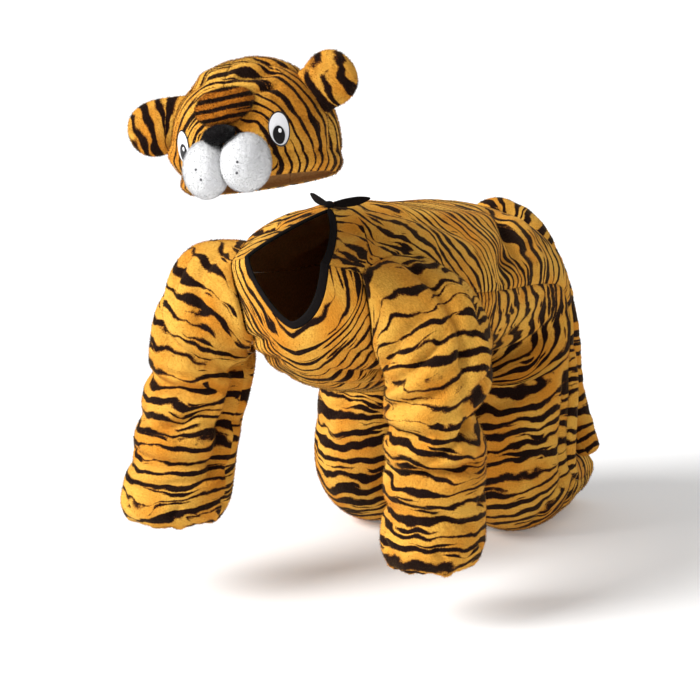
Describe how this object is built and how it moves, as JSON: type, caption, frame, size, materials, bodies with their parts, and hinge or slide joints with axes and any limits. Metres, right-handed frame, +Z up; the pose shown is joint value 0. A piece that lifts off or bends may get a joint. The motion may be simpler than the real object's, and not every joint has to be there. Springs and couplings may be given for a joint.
{
  "type": "worn tiger jumpsuit with hat",
  "caption": "Child's plush tiger costume in the hollow form it has on a wearer on hands and knees: striped jumpsuit with tail, tied V neck, and tiger head hat.",
  "frame": {"origin": "hold point inside the jumpsuit, between the wearer's shoulders and just under the back cloth; the floor is 0.4 m below it", "axes": "+X to the wearer's left, +Y to the rear along the back, +Z up; the wearer faces -Y"},
  "size_m": [0.4217, 0.7512, 0.6322],
  "materials": {
    "tiger_plush": "short striped plush",
    "white_plush": "white pile",
    "black_cloth": "black knit",
    "deep_plush": "longer pile"
  },
  "bodies": {
    "root": {"back_left": "tiger_plush", "back_left_leg": "tiger_plush", "back_right": "tiger_plush", "back_right_leg": "tiger_plush", "ear_left": "tiger_plush", "ear_right": "tiger_plush", "eye_left": "white_plush", "eye_right": "white_plush", "front_left": "tiger_plush", "front_left_leg": "tiger_plush", "front_right": "tiger_plush", "front_right_leg": "tiger_plush", "hat_left": "tiger_plush", "hat_right": "tiger_plush", "muzzle_left": "white_plush", "muzzle_right": "white_plush", "neck_binding": "black_cloth", "neck_knot": "black_cloth", "neck_tie_left": "black_cloth", "neck_tie_right": "black_cloth", "nose": "black_cloth", "nose_bridge": "deep_plush", "pupil_left": "black_cloth", "pupil_right": "black_cloth", "sleeve_left": "tiger_plush", "sleeve_right": "tiger_plush", "tail": "tiger_plush"}
  },
  "joints": []
}
